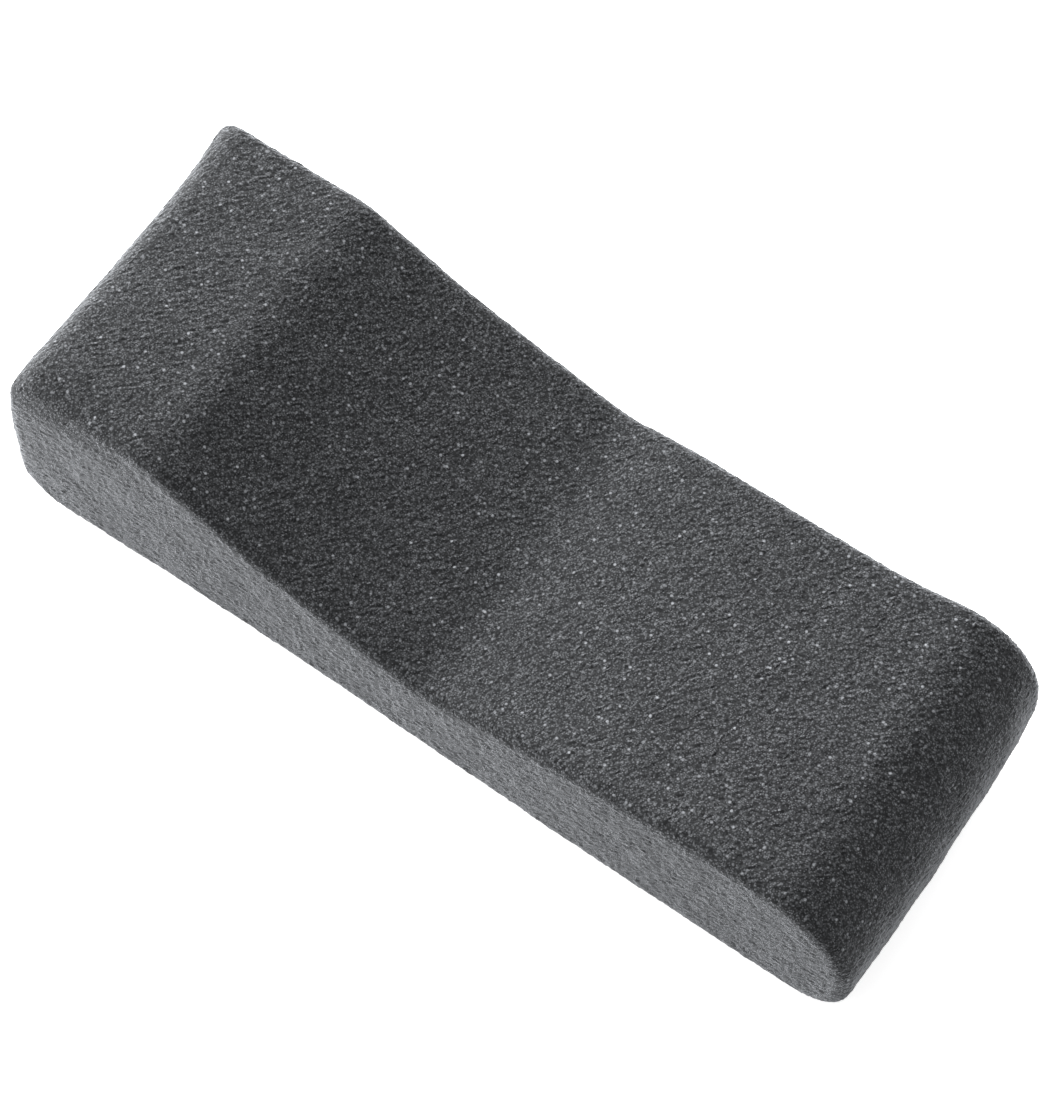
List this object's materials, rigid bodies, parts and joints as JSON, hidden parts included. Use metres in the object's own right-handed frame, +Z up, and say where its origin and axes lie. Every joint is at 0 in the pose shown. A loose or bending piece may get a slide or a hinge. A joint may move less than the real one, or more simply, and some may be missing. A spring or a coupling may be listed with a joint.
{
  "type": "foam chalkboard eraser",
  "caption": "Contoured block of dark open-cell foam with a thick square heel, a finger valley across the top, a rounded toe and a flat wiping underside.",
  "frame": {"origin": "middle of the footprint, on the flat underside that the block rests on", "axes": "+X along the block from the thick heel to the rounded toe, +Y across its width, +Z up, away from the wiping underside"},
  "size_m": [0.127, 0.0474, 0.0274],
  "materials": {
    "foam": "matte open-cell foam"
  },
  "bodies": {
    "root": {"foam_block": "foam"}
  },
  "joints": []
}
